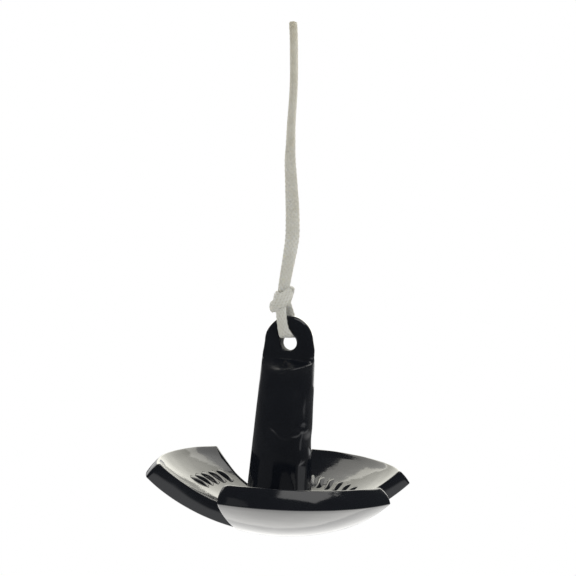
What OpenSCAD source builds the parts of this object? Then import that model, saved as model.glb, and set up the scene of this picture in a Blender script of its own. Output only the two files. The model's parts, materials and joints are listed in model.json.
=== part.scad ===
// River anchor: a one-piece iron casting dipped in black vinyl, hanging on a braided line.
// The line's upper end is the origin, +Z is up along the shank, and the eye's bore runs along Y.

/* [Crown] */
// Radius of the casting's domed underside
bowl_r = 160; // [140:1:180]
// Thickness of the iron flukes
fluke_t = 10; // [8:0.5:13]
// Half angle of the bowl, from straight down to the rim
rim_angle = 41.3; // [36:0.1:46]
// Height of the bowl's centre of curvature above the eye
bowl_centre_h = 9; // [4:0.5:14]
// Number of flukes
fluke_count = 3; // [3:1:4]
// Direction of the first fluke, turned from the front face of the eye
fluke_turn = 19; // [0:1:60]
// Opening angle of the gap between two flukes
gap_angle = 74; // [60:1:84]
// Radius of the rounded root of each gap
gap_root_r = 10; // [8:0.5:14]
// Distance from the shank's axis to the centre of that root
gap_root_d = 46; // [43:0.5:52]
// Angle by which the first gap opens less on the first fluke's side, where that fluke is broader
broad_side = 8; // [0:0.5:12]

/* [Shank] */
// Radius of the shank just under the eye's shoulder
shank_top_r = 19; // [17:0.25:21]
// Radius of the shank where it meets the bowl
shank_foot_r = 25.2; // [23:0.2:30]
// Height of the casting fillet at the shank's foot
foot_fillet_h = 6; // [3:0.5:9]
// How far that fillet spreads onto the bowl
foot_fillet_w = 5; // [2:0.5:8]

/* [Eye] */
// Thickness of the flat iron tab
tab_t = 7; // [6:0.5:9]
// Radius of the tab's round top
tab_r = 18; // [16.5:0.25:19]
// Height of that round top's centre above the eye's centre
tab_rise = 1.6; // [0:0.1:2.4]
// Radius of the hole in the iron
eye_r = 8.5; // [8:0.1:9.5]
// Drop from the eye to the top of the shoulder
shoulder_drop = 13; // [12:0.5:16]
// Height of the sloping shoulder
shoulder_h = 9; // [7:0.5:12]

/* [Coating] */
// Thickness of the vinyl skin
coat = 2; // [1.5:0.1:2.2]

/* [Line] */
// Width of the flattened braid
line_w = 11.4; // [9:0.2:13]
// Thickness of the flattened braid
line_t = 6.3; // [5:0.1:7]
// Height of the line's upper end above the eye
line_h = 260; // [252:1:300]
// Offset of the line's upper end to the left of the eye
line_lean = 14; // [6:1:22]
// Width of the braid where it is squeezed inside the eye
bight_w = 7.4; // [6:0.2:8]
// Thickness of the braid where it is squeezed inside the eye
bight_t = 3.2; // [2.6:0.1:3.6]
// Clearance of the line from the vinyl
line_clear = 0.5; // [0.4:0.05:0.8]

/* [Hidden] */
$fn = 96;

vinyl = "#16171b";
iron = "#4b4a48";
rope_white = "#d9d7cc";

eye_pos = [line_lean, 0, -line_h];
bowl_inner_r = bowl_r - fluke_t;
// Depth of the dish's floor under the eye
floor_drop = bowl_inner_r - bowl_centre_h;
// Ratio that carries the gap cutter well past the rim
gap_reach = 2 * bowl_r;
// How far the shoulder's slope runs on past the shank's surface, so that they cross cleanly
shoulder_past = 1;
// Distance over which the shoulder slopes out to the full shank
shoulder_out = shank_top_r - tab_t / 2 + shoulder_past;
shoulder_angle = atan2(shoulder_h, shoulder_out);

// Stations of the standing part from the line's end down into the knot: [x, y, z, twist].
// x and z are measured from the line's upper end, and twist turns the flat braid about its run.
line_route = [
    [0, 0, 0, 90], [1.5, 0, -14, 90], [2.5, 0, -28, 88], [3.5, 0, -42, 84],
    [4, 0, -56, 76], [4, 0, -70, 70], [4, 0, -84, 64], [4.5, 0, -98, 54],
    [5, 0, -112, 40], [6.5, 0, -125, 31], [8, 0, -138, 22], [9.5, 0, -151, 10],
    [10.5, 0, -163, 0], [11, 0, -175, -8], [10, 0, -187, -20], [8.5, 0, -200, -30],
    [7, 0, -214, -36], [6.5, 0, -219, -38]
];
// How far the standing part's width has drawn in at each station, 0 for none to 1 for its thickness
line_draw = [0, 0, 0, 0, 0, 0, 0, 0, 0, 0, 0, 0, 0, 0, 0.1, 0.2, 0.3, 0.4];

// Half the thickness of the loop's strands in front of and behind the tab
strand_half = 2.4;
// Depth of those strands' centres
strand_y = tab_t / 2 + coat + line_clear + strand_half;
// Height of the bight's centre above the eye's centre
bight_z = 3.9;
// Depth at which the bight leaves the eye's bore
bight_y = 4.6;
// Stations of the loop from the knot, down the front, through the eye and up the back, from the
// eye's centre: [x, y, z, half width, half thickness]
loop_route = [
    [-8, -3, 31, 4.4, 2.3], [-7.5, -7.4, 25.4, 4.6, 2.3],
    [-6.8, -strand_y, 19.8, 4.8, strand_half], [-5.2, -strand_y, 12.5, 4.7, 2.3],
    [-3, -strand_y + 0.2, 8, 4.5, 2], [-1.2, -strand_y + 1.1, 4.9, 4.1, 1.7],
    [-0.4, -bight_y, bight_z, bight_w / 2, bight_t / 2],
    [0, 0, bight_z, bight_w / 2, bight_t / 2],
    [0.4, bight_y, bight_z, bight_w / 2, bight_t / 2],
    [1.2, strand_y - 1.1, 4.9, 4.1, 1.7], [1.6, strand_y - 0.2, 8, 4.4, 2],
    [1.5, strand_y, 13, 4.4, 2.3], [0.5, strand_y, 20.4, 4.4, 2.3],
    [-1.5, 7.2, 26, 4.4, 2.3], [-4, 3, 31.5, 4.2, 2.2]
];
// Stations of the short free end behind the knot, from the eye's centre, in the same form
tail_route = [
    [-4.5, 4.4, 34, 3.4, 2], [-3, 6, 38, 3.5, 2], [-1.8, 6.6, 42.5, 3.6, 2.1], [-1, 6.8, 47, 3.6, 2.2]
];
// Balls that the knot's outer shape is stretched over, from the eye's centre: [x, y, z, radius]
knot_balls = [[-11, -2, 28.7, 7], [-9, 0, 35.5, 7], [-5.2, -1, 37, 6.8]];

// ---- swept tubes ------------------------------------------------------------------------

function tangent(p, i) =
    let (a = p[max(i - 1, 0)], b = p[min(i + 1, len(p) - 1)], d = b - a) d / norm(d);

// Ring of points round station i: an oval whose long side starts along X and is turned by twist
function oval(p, i, half_w, half_t, twist, sides) =
    let (
        t = tangent(p, i),
        side0 = [1, 0, 0] - t[0] * t,
        side = side0 / norm(side0),
        up = cross(t, side)
    )
    [for (k = [0 : sides - 1])
        let (a = 360 * k / sides, u = half_w * cos(a), v = half_t * sin(a))
        p[i] + (u * cos(twist) - v * sin(twist)) * side + (u * sin(twist) + v * cos(twist)) * up];

// Tube along p; section[i] is [half width, half thickness, twist] at station i
module sweep_tube(p, section, sides) {
    rings = [for (i = [0 : len(p) - 1])
        each oval(p, i, section[i][0], section[i][1], section[i][2], sides)];
    last = (len(p) - 1) * sides;
    walls = [for (i = [0 : len(p) - 2], k = [0 : sides - 1])
        let (a = i * sides + k, b = i * sides + (k + 1) % sides)
        each [[a, a + sides, b + sides], [a, b + sides, b]]];
    start_cap = [for (k = [1 : sides - 2]) [0, k, k + 1]];
    end_cap = [for (k = [1 : sides - 2]) [last, last + k + 1, last + k]];
    polyhedron(points = rings, faces = concat(walls, start_cap, end_cap), convexity = 6);
}

function xyz(route) = [for (s = route) [s[0], s[1], s[2]]];

// ---- the anchor, drawn about the eye and grown outwards by g ----------------------------------

// Section of the bowl: a ring sector whose rim face points at the centre of curvature
module bowl_profile(g) {
    apex = g / sin(rim_angle);
    reach = 2 * bowl_r;
    intersection() {
        difference() {
            circle(r = bowl_r + g, $fn = 360);
            circle(r = bowl_inner_r - g, $fn = 360);
        }
        polygon([[0, apex], [reach * sin(rim_angle), apex - reach * cos(rim_angle)],
                 [0, -reach]]);
    }
}

// Plan of the gap between two flukes: a wedge with a round root, pointing along +X. Its side
// towards -Y opens less by trim.
module gap_plan(g, trim) {
    root = gap_root_r - g;
    half = gap_angle / 2;
    low = half - trim;
    steps = 12;
    arc = [for (k = [0 : steps])
        let (a = 90 + half + k * (180 - half - low) / steps)
        [gap_root_d + root * cos(a), root * sin(a)]];
    mouth = [for (s = [[-1, low], [1, half]])
        [gap_root_d - root * sin(s[1]) + gap_reach * cos(s[1]),
         s[0] * (root * cos(s[1]) + gap_reach * sin(s[1]))]];
    polygon(concat(arc, mouth));
}

module crown(g) {
    difference() {
        translate([0, 0, bowl_centre_h]) rotate_extrude($fn = 180) bowl_profile(g);
        for (i = [0 : fluke_count - 1])
            rotate([0, 0, -90 + fluke_turn + (i + 0.5) * 360 / fluke_count])
                translate([0, 0, -2 * bowl_r]) linear_extrude(2 * bowl_r)
                    gap_plan(g, i == 0 ? broad_side : 0);
    }
}

// Side view of the shank: the tab's thickness, sloping shoulder and full round shank, in Y and Z
module shoulder_profile(g) {
    tab_half = tab_t / 2 + g;
    top = -shoulder_drop + g * tan(shoulder_angle);
    out = tab_half + shoulder_out;
    polygon([[-tab_half, tab_r], [-tab_half, top], [-out, top - shoulder_h],
             [-out - shank_foot_r, top - shoulder_h], [-out - shank_foot_r, -2 * bowl_r],
             [out + shank_foot_r, -2 * bowl_r], [out + shank_foot_r, top - shoulder_h],
             [out, top - shoulder_h], [tab_half, top], [tab_half, tab_r]]);
}

module shank(g) {
    run = floor_drop - shoulder_drop;
    sink = fluke_t / 2;
    overlap = 0.01;
    intersection() {
        union() {
            translate([0, 0, -floor_drop])
                cylinder(r1 = shank_foot_r + g, r2 = shank_top_r + g, h = run);
            translate([0, 0, -floor_drop - sink]) cylinder(r = shank_foot_r + g, h = sink + overlap);
        }
        rotate([90, 0, 90])
            translate([0, 0, -2 * shank_foot_r]) linear_extrude(4 * shank_foot_r)
                shoulder_profile(g);
    }
    translate([0, 0, -floor_drop - sink])
        cylinder(r1 = shank_foot_r + foot_fillet_w + g + sink * foot_fillet_w / foot_fillet_h,
                 r2 = shank_foot_r + g, h = foot_fillet_h + sink + g);
}

// Flat tab with a round top, run down into the shoulder
module tab(g) {
    depth = shoulder_drop + shoulder_h;
    half = tab_r + g;
    rotate([90, 0, 0]) translate([0, 0, -tab_t / 2 - g]) linear_extrude(tab_t + 2 * g) {
        translate([0, tab_rise]) circle(r = half);
        translate([-half, -depth]) square([2 * half, depth + tab_rise]);
    }
}

module anchor_body(g) {
    difference() {
        union() {
            crown(g);
            shank(g);
            tab(g);
        }
        rotate([90, 0, 0]) cylinder(r = eye_r - g, h = 4 * tab_t, center = true);
    }
}

// ---- nodes --------------------------------------------------------------------------------

module casting() {
    color(iron) translate(eye_pos) anchor_body(0);
}

module coating() {
    color(vinyl) translate(eye_pos) difference() {
        anchor_body(coat);
        anchor_body(0);
    }
}

module line() {
    color(rope_white) sweep_tube(
        xyz(line_route),
        [for (i = [0 : len(line_route) - 1])
            [(line_w + (line_t - line_w) * line_draw[i]) / 2, line_t / 2, line_route[i][3]]],
        10);
}

// Outer shape of the half hitches that hold the loop
module knot() {
    color(rope_white) translate(eye_pos) hull() {
        for (b = knot_balls)
            translate([b[0], b[1], b[2]]) sphere(r = b[3], $fn = 32);
    }
}

module eye_loop() {
    color(rope_white) translate(eye_pos) sweep_tube(
        xyz(loop_route), [for (s = loop_route) [s[3], s[4], 0]], 12);
}

module tail() {
    color(rope_white) translate(eye_pos) sweep_tube(
        xyz(tail_route), [for (s = tail_route) [s[3], s[4], 0]], 10);
}

casting();
coating();
line();
knot();
eye_loop();
tail();
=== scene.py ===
"""River anchor: looks of the vinyl skin, the iron inside it and the braided line."""
import json
from math import asin, cos, pi, radians, sin, sqrt

import bmesh
import bpy
import numpy as np
from bpy.props import FloatProperty, FloatVectorProperty, IntProperty, PointerProperty
from bpy.types import Operator, Panel, PropertyGroup
from mathutils import Matrix, Vector


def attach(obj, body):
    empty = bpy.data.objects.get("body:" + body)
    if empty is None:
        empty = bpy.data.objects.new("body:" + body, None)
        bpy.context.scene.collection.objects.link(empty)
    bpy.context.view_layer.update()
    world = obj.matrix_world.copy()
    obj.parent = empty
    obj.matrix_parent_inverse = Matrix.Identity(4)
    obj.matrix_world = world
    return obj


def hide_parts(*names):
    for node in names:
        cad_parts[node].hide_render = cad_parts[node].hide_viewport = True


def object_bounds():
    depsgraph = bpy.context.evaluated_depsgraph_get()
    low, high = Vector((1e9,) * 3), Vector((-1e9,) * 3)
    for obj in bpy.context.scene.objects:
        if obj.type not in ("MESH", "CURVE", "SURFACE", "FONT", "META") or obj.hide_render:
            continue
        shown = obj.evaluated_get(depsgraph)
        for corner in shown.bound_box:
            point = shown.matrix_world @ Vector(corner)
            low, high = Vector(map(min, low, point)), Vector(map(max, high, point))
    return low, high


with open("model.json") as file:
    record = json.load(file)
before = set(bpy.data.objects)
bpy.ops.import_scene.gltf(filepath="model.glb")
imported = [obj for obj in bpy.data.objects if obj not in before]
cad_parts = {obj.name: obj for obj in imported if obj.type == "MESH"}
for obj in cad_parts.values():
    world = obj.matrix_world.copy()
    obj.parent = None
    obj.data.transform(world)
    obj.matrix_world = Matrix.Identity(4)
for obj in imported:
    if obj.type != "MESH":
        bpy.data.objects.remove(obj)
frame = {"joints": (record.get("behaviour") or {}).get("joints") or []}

bl_info = {
    "name": "Vinyl coated river anchor",
    "version": (1, 0, 0),
    "blender": (4, 5, 0),
    "location": "View3D > Sidebar > Anchor",
    "description": "Builds a dipped river anchor and its braided line around a packed frame",
    "category": "Object",
}

MM = 0.001
EYE = np.array(frame["joints"][0]["pos_m"])
CAD_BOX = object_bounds()
GOLDEN_ANGLE = 2.39996


# ---- sizes and colours ---------------------------------------------------------------------

def metres(name, description, default):
    """A property that is a length."""
    return FloatProperty(name=name, description=description, default=default, unit="LENGTH")


def degrees(name, description, default):
    """A property that is an angle, its default given in degrees."""
    return FloatProperty(name=name, description=description, default=radians(default),
                         subtype="ANGLE")


def colour(name, description, default):
    """A property that is a colour."""
    return FloatVectorProperty(name=name, description=description, default=default,
                               subtype="COLOR", size=3)


class AnchorSizes(PropertyGroup):
    """Sizes of the bare iron anchor and of its skin."""

    bowl_r: metres("Dome radius", "Radius of the iron's domed underside", 0.160)
    fluke_t: metres("Fluke thickness", "Thickness of the iron flukes", 0.010)
    rim_angle: degrees("Rim angle", "Half angle of the bowl, from straight down to the rim", 41.3)
    bowl_centre_h: metres(
        "Bowl centre", "Height of the bowl's centre of curvature above the eye", 0.009)
    fluke_count: IntProperty(
        name="Flukes", description="Number of flukes", default=3, min=3, max=4)
    fluke_turn: degrees("Fluke turn", "Turn of the first fluke from the eye's front face", 19)
    gap_angle: degrees("Gap angle", "Opening angle of the gap between two flukes", 74)
    gap_root_r: metres("Gap root radius", "Radius of the round root of each gap", 0.010)
    gap_root_d: metres(
        "Gap root distance", "Distance of that root's centre from the shank's axis", 0.046)
    broad_side: degrees("Broad side", "How much less the first gap opens beside the first fluke", 8)
    lean: metres("Lean", "How much thicker the first fluke is at one end of its rim", 0.0010)
    bead: metres("Bead", "Height of the bead that the skin forms along the dish's edge", 0.0008)
    side_bow: metres("Side bow", "How far a fluke's side bows in between root and corner", 0.0018)
    shank_top_r: metres("Shank top radius", "Radius of the shank under the eye's shoulder", 0.019)
    shank_foot_r: metres("Shank foot radius", "Radius of the shank where it meets the bowl", 0.0252)
    foot_fillet: metres("Foot fillet", "Radius of the fillet between shank and bowl", 0.005)
    tab_t: metres("Tab thickness", "Thickness of the flat iron tab", 0.007)
    tab_r: metres("Tab radius", "Radius of the tab's round top about the eye", 0.018)
    tab_rise: metres("Tab rise", "Height of the round top's centre above the eye's centre", 0.0016)
    eye_r: metres("Eye radius", "Radius of the hole in the iron", 0.0085)
    shoulder_drop: metres("Shoulder drop", "Drop from the eye to the top of the shoulder", 0.013)
    coat: metres("Skin thickness", "Thickness of the vinyl skin", 0.002)


class LineSizes(PropertyGroup):
    """Sizes of the hollow braid."""

    width: metres("Width", "Width of the flattened braid", 0.0114)
    thickness: metres("Thickness", "Thickness of the flattened braid", 0.0063)
    strands: IntProperty(
        name="Strands", description="Strands that run each way round the braid", default=8)
    lay: metres("Lay", "Run along the braid from one strand to the next", 0.0043)
    relief: metres("Relief", "Height of the strands over the gaps between them", 0.00055)


class FinishColours(PropertyGroup):
    """Colours of the finishes."""

    vinyl: colour("Vinyl", "Colour of the dipped skin", (0.0052, 0.0064, 0.0092))
    iron: colour("Iron", "Colour of the sand cast iron", (0.070, 0.068, 0.065))
    rust: colour("Rust", "Colour of the flash rust on the iron", (0.190, 0.075, 0.030))
    braid: colour("Braid", "Colour of the clean braid", (0.700, 0.700, 0.655))
    # The soil colour also darkens the gaps between the braid's strands as painted shade.
    soil_and_gap_shade: colour("Soil", "Colour of the grime in the braid", (0.400, 0.360, 0.245))


class StudioSettings(PropertyGroup):
    """Camera and lamps."""

    distance: metres("Distance", "Distance of the camera from the eye", 0.780)
    azimuth: degrees("Azimuth", "Turn of the camera to the right of the eye's front", 8.8)
    elevation: degrees("Elevation", "Rise of the camera over the eye", 3)
    roll: degrees("Roll", "Lean of the hanging anchor in the frame", 3.8)
    lens: FloatProperty(
        name="Lens", description="Focal length on a 36 mm sensor, in millimetres", default=59.8)
    eye_right: degrees(
        "Eye right", "Angle by which the eye lies right of the frame's centre", 0.05987)
    eye_down: degrees("Eye down", "Angle by which the eye lies below the frame's centre", 3.22957)
    floor_drop: metres("Floor drop", "Height at which the anchor hangs over the floor", 0.45)


# ---- meshes --------------------------------------------------------------------------------

SEAM_WELD, NO_LENGTH = 2e-7, 1e-8


def grid_faces(rows, columns, closed):
    """Quads between neighbouring rows of a grid; closed joins each row's end to its start."""
    r = np.arange(rows - 1)[:, None] * columns
    c = np.arange(columns if closed else columns - 1)[None, :]
    n = (c + 1) % columns
    return np.stack([r + c, r + n, r + columns + n, r + columns + c], -1).reshape(-1, 4)


def zipper_faces(inner, outer, offset):
    """Triangles between two closed loops of different counts, each given by its rising polar
    angles: every edge of one loop joins the last point of the other loop that it has passed."""
    a, b = len(inner), len(outer)
    inner_next = np.append(inner[1:], inner[0] + 2 * pi)
    outer_next = np.append(outer[1:], outer[0] + 2 * pi)
    passed_b = np.searchsorted(outer_next, inner_next, "left") % b
    passed_a = np.searchsorted(inner_next, outer_next, "right") % a
    i, j = np.arange(a), np.arange(b)
    from_inner = np.stack([i, offset + passed_b, (i + 1) % a], -1)
    from_outer = np.stack([offset + j, offset + (j + 1) % b, passed_a], -1)
    return np.concatenate([from_inner, from_outer])


def fan_faces(loop, centre):
    """Triangles from each edge of a closed loop to one centre point."""
    return np.stack([loop, np.roll(loop, -1), np.full(len(loop), centre)], -1)


def bmesh_of(patches, flip=False):
    """One closed bmesh from patches of (points, list of face arrays): seams merged, faces out,
    or all turned in by flip, for a shell's inner wall."""
    bm = bmesh.new()
    for points, face_sets in patches:
        mesh = bpy.data.meshes.new("patch")
        faces = [f for faces in face_sets for f in faces.tolist()]
        mesh.from_pydata(points.reshape(-1, 3).tolist(), [], faces)
        bm.from_mesh(mesh)
        bpy.data.meshes.remove(mesh)
    bmesh.ops.remove_doubles(bm, verts=bm.verts, dist=SEAM_WELD)
    bmesh.ops.dissolve_degenerate(bm, dist=NO_LENGTH, edges=bm.edges)
    bmesh.ops.recalc_face_normals(bm, faces=bm.faces)
    if flip:
        bmesh.ops.reverse_faces(bm, faces=bm.faces)
    for f in bm.faces:
        f.smooth = True
    return bm


def piece(name, bms, material, body):
    """A finished object from one or more bmeshes, with its material, riding on a body."""
    mesh = bpy.data.meshes.new(name)
    joined = bmesh.new()
    for bm in bms:
        part = bpy.data.meshes.new("part")
        bm.to_mesh(part)
        joined.from_mesh(part)
        bpy.data.meshes.remove(part)
        bm.free()
    joined.to_mesh(mesh)
    joined.free()
    obj = bpy.data.objects.new(name, mesh)
    bpy.context.scene.collection.objects.link(obj)
    obj.data.materials.append(material)
    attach(obj, body)
    return obj


def ease(x):
    """Smooth step from 0 to 1 as x goes from 0 to 1."""
    x = np.clip(x, 0, 1)
    return x * x * (3 - 2 * x)


def mix(a, b, t):
    """Straight blend from a to b."""
    return a + (b - a) * t


def round_max(a, b, r):
    """The larger of two distances, with the edge between their surfaces rounded to radius r."""
    return np.minimum(-r, np.maximum(a, b)) + np.hypot(np.maximum(a + r, 0), np.maximum(b + r, 0))


def ripple(points, size):
    """Slow unevenness, about -1 to 1: a sum of seven sines over lines in space, each turned by the
    golden angle from the last, leaned by another sine, and a little shorter."""
    waves = 7
    total = np.zeros(points.shape[:-1])
    for k in range(waves):
        turn = GOLDEN_ANGLE * k
        lean = 0.7 * sin(1.7 * k + 0.4)
        along = np.array([cos(turn) * cos(lean), sin(turn) * cos(lean), sin(lean)])
        total += np.sin(points @ along * (2 * pi / size) * 1.17 ** k + 1.9 * k)
    return total / waves ** 0.5 / 1.5


# ---- the anchor's surface -------------------------------------------------------------------

class Form:
    """The anchor's measures for iron grown outwards by grow, about the eye."""

    def __init__(self, sizes, grow, detail):
        s = self.sizes = sizes
        self.grow, self.detail = grow, detail
        self.out_r = s.bowl_r + grow
        self.in_r = s.bowl_r - s.fluke_t - grow
        self.shell = self.out_r - self.in_r
        self.half_share = pi / s.fluke_count
        self.root_r = s.gap_root_r - grow
        self.edge_r = 0.6 * MM + 0.35 * grow
        self.tab_half = s.tab_t / 2 + grow
        self.tab_side = s.tab_r + grow
        self.tab_round = 1.2 * MM + 1.1 * grow
        self.bore_r = s.eye_r - grow
        self.bore_round = 0.7 * MM + 0.35 * grow
        self.bore_deep = 1.3 * self.bore_round
        self.tab_foot = -s.eye_r - 1.1 * MM
        self.floor_z = s.bowl_centre_h - (s.bowl_r - s.fluke_t)

    def count(self, n):
        """Steps of a curve that takes n at full detail."""
        return max(2, round(n * self.detail))

    def shell_z(self, rho, level):
        """Height at a distance from the axis; level runs from the dish, 0, to the dome, 1."""
        r = self.in_r + self.shell * level
        return self.sizes.bowl_centre_h - np.sqrt(r * r - rho * rho)

    def rim_rho(self, level):
        """Distance of the rim face from the axis: a cone through the shell, moved out by grow."""
        r = self.in_r + self.shell * level
        return r * np.sin(self.sizes.rim_angle + np.arcsin(self.grow / r))

    def tab_spread(self, x, z):
        """How much wider the tab is at a height than drawn: the right side widens beside the eye,
        the left side first draws in a little and then slopes out to the shoulder."""
        right = 0.09 * ease((5 * MM - z) / (11.5 * MM))
        left = (0.062 * ease((-3.5 * MM - z) / (10.5 * MM))
                - 0.02 * ease((z + 5 * MM) / (6 * MM)))
        return 1 + mix(left, right, ease(x / self.tab_side + 0.5))

    def shank_rho(self, z):
        """Radius of the tapered shank."""
        s = self.sizes
        t = (-s.shoulder_drop - z) / (-s.shoulder_drop - self.floor_z)
        return mix(s.shank_top_r, s.shank_foot_r, t) + self.grow


RIM, CORNER, SIDE, ROOT = range(4)
STEPS_ALONG = (26, 14, 30, 8)

# How far each fluke's rim stands above its drawn place, in mm: dish edge, dome edge
RIM_LIFTS = np.array([(0.9, -0.6), (0.3, 1.0), (-0.3, -0.9)])

# Angles in degrees by which the first fluke's left and right ends reach into the gaps: at the
# dome's edge, what the dish's edge has more, and the bulge of the wall between them
END_LOW, END_TOP_MORE, END_PUFF = (0.5, 2.5), (1.3, 1.3), (0.9, 1.8)


class Outline:
    """Plan of the flukes, sampled round the axis: rim arc, corner arc, bowed side and root arc of
    each half fluke, mirrored, and turned once for each fluke."""

    def __init__(self, form):
        self.form = form
        counts = [form.count(n) for n in STEPS_ALONG]
        kind = np.repeat([RIM, CORNER, SIDE, ROOT], counts)
        t = np.concatenate([np.arange(n) / n for n in counts])
        kind, t = np.append(kind, ROOT), np.append(t, 1.0)
        last = len(t) - 1
        index = np.concatenate([np.arange(last, 0, -1), np.arange(last)])
        flukes = form.sizes.fluke_count
        self.kind = np.tile(kind[index], flukes)
        self.t = np.tile(t[index], flukes)
        self.sign = np.tile(np.repeat([-1.0, 1.0], last), flukes)
        fluke = np.repeat(np.arange(flukes), len(index))
        self.turn = -pi / 2 + form.sizes.fluke_turn + fluke * 2 * pi / flukes
        self.first = fluke == 0
        self.half_gap = form.sizes.gap_angle / 2 - self.on_first(0, form.sizes.broad_side)
        self.end_low = self.on_first(*np.radians(END_LOW))
        self.end_top = self.end_low + self.on_first(*np.radians(END_TOP_MORE))
        self.end_puff = self.on_first(*np.radians(END_PUFF))
        self.top_lift, self.low_lift = RIM_LIFTS.T[:, fluke % len(RIM_LIFTS)] * MM
        rim_part, side_part = 0.38, 0.3
        near = np.select([self.kind == RIM, self.kind == CORNER, self.kind == SIDE],
                         [(self.t - 1 + rim_part) / rim_part, 1.0 + 0 * self.t,
                          1 - self.t / side_part], 0.0)
        self.cornered = ease(near)

    def on_first(self, left, right):
        """One value on the first fluke's left half, one on its right, and none on the others."""
        return np.where(self.first, np.where(self.sign > 0, right, left), 0)

    def at(self, level, corner_r):
        """Points (x, y) and outward normals of the outline where the wall is at level: an arc of
        the rim's radius, an arc of corner_r tangent to it, a line to the gap's root with a squared
        sine as its bow, and the root's arc."""
        form, s, t = self.form, self.form.sizes, self.t
        puff = self.end_puff * 4 * level * (1 - level)
        half_gap = self.half_gap - mix(self.end_top, self.end_low, level) - puff
        run = form.half_share - half_gap
        u = np.stack([np.cos(run), np.sin(run)])
        m = np.stack([-np.sin(run), np.cos(run)])
        to_gap = np.array([cos(form.half_share), sin(form.half_share)])
        apex_d = s.gap_root_d - form.root_r / np.sin(half_gap)
        apex = to_gap.reshape(2, *[1] * np.ndim(run)) * apex_d
        rim = form.rim_rho(level)
        bx, by = apex[0] - m[0] * corner_r, apex[1] - m[1] * corner_r
        along = bx * u[0] + by * u[1]
        reach = -along + np.sqrt(along ** 2 - bx ** 2 - by ** 2 + (rim - corner_r) ** 2)
        cx, cy = bx + reach * u[0], by + reach * u[1]
        rim_end = np.arctan2(cy, cx)
        start = form.root_r / np.tan(half_gap)

        arc = rim_end * t
        turn = mix(rim_end, run + pi / 2, t)
        way = mix(reach, start, t)
        bow = s.side_bow * np.sin(pi * t) ** 2
        root = mix(run - pi / 2, form.half_share - pi, t)
        kinds = [self.kind == RIM, self.kind == CORNER, self.kind == SIDE]
        x = np.select(kinds, [rim * np.cos(arc), cx + corner_r * np.cos(turn),
                              apex[0] + way * u[0] - bow * m[0]],
                      s.gap_root_d * to_gap[0] + form.root_r * np.cos(root))
        y = np.select(kinds, [rim * np.sin(arc), cy + corner_r * np.sin(turn),
                              apex[1] + way * u[1] - bow * m[1]],
                      s.gap_root_d * to_gap[1] + form.root_r * np.sin(root))
        flat = 0 * (x + t)
        nx = np.select(kinds, [np.cos(arc), np.cos(turn), m[0] + flat], -np.cos(root))
        ny = np.select(kinds, [np.sin(arc), np.sin(turn), m[1] + flat], -np.sin(root))
        y, ny = y * self.sign, ny * self.sign
        c, d = np.cos(self.turn), np.sin(self.turn)
        return x * c - y * d, x * d + y * c, nx * c - ny * d, nx * d + ny * c


def crown_points(form):
    """Rows of points round the flukes: from a circle at the shank's foot out over the dish, round
    the top edge, down the wall, round the lower edge and in under the dome to its pole. Each row
    is the outline drawn in by an inset and let down through the shell by a level; its height is
    the sphere's, with the first fluke's lean, each rim's lift and a bell curve for the bead, all
    of which grow outwards over the dish."""
    outline = Outline(form)
    top_r = mix(form.edge_r, form.edge_r * 2.0, outline.cornered)
    low_r = form.edge_r * 0.6 + 0 * top_r
    corner_top = np.where(outline.first, outline.on_first(9 * MM, 8 * MM), 2.5 * MM)
    corner_low, corner_middle = 1.5 * MM, 6 * MM
    bulge = 0.45 * MM
    x, y, nx, ny = outline.at(np.full_like(top_r, 0.5), corner_middle)
    rho = np.hypot(x, y)
    radial = ((nx * x + ny * y) / rho) ** 2
    slope = rho / np.sqrt((form.in_r + form.shell / 2) ** 2 - rho ** 2)
    wall = form.shell * mix(np.sqrt(1 + slope ** 2), 1.0, radial)
    squeeze = 1 / np.sqrt(1 + radial * slope ** 2)

    a = np.linspace(0, pi / 2, form.count(9))[:, None]
    top = (top_r * (1 - np.sin(a)), top_r * (1 - np.cos(a)))
    b = np.linspace(0, 1, form.count(6) + 1)[1:, None]
    side = (0 * top_r - bulge * np.sin(pi * b), mix(top_r, wall - low_r, b))
    c = np.linspace(0, pi / 2, form.count(6))[1:, None]
    low = (low_r * (1 - np.cos(c)), wall - low_r * (1 - np.sin(c)))
    inset = np.concatenate([top[0], side[0], low[0]]) * squeeze
    level = np.clip(np.concatenate([top[1], side[1], low[1]]) / wall, 0, 1)
    x, y, nx, ny = outline.at(level, mix(corner_top, corner_low, level))
    edge = np.stack([x - inset * nx, y - inset * ny], -1)

    foot_r, _ = foot_circle(form)
    start = edge[0]
    angle = np.unwrap(np.arctan2(start[:, 1], start[:, 0]))
    even = angle[0] + np.arange(len(angle)) * 2 * pi / len(angle)
    foot = mix(even, angle, 0.45)
    circle = (foot_r + 0.9 * MM) * np.stack([np.cos(foot), np.sin(foot)], -1)
    t = np.linspace(0, 1, form.count(36))[:-1, None, None]
    dish = mix(circle, start, 1 - (1 - t) ** 1.5)
    pole = 0.015
    k = np.linspace(1, pole, form.count(32))[1:, None, None]
    dome = edge[-1] * k
    plan = np.concatenate([dish, edge, dome])
    rows = np.concatenate([np.zeros(dish.shape[:2]), level, np.ones(dome.shape[:2])])
    rho = np.hypot(plan[..., 0], plan[..., 1])
    out = ease(rho / form.out_r * 2.2 - 0.45)
    across = plan[..., 1] * np.cos(outline.turn) - plan[..., 0] * np.sin(outline.turn)
    lean = form.sizes.lean * 2.6 * across / form.out_r * out * outline.first
    lift = mix(outline.top_lift, outline.low_lift, rows) * out
    bead_width = 3.4 * MM
    ridge = np.exp(-(np.linalg.norm(dish - start, axis=-1) / bead_width) ** 2)
    ridge = np.concatenate([ridge, (1 - level) ** 2, np.zeros(dome.shape[:2])])
    bead = form.sizes.bead * form.grow / form.sizes.coat * ridge
    z = form.shell_z(rho, rows) + rows * lean + lift + bead
    return np.concatenate([plan, z[..., None]], -1), foot


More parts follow.
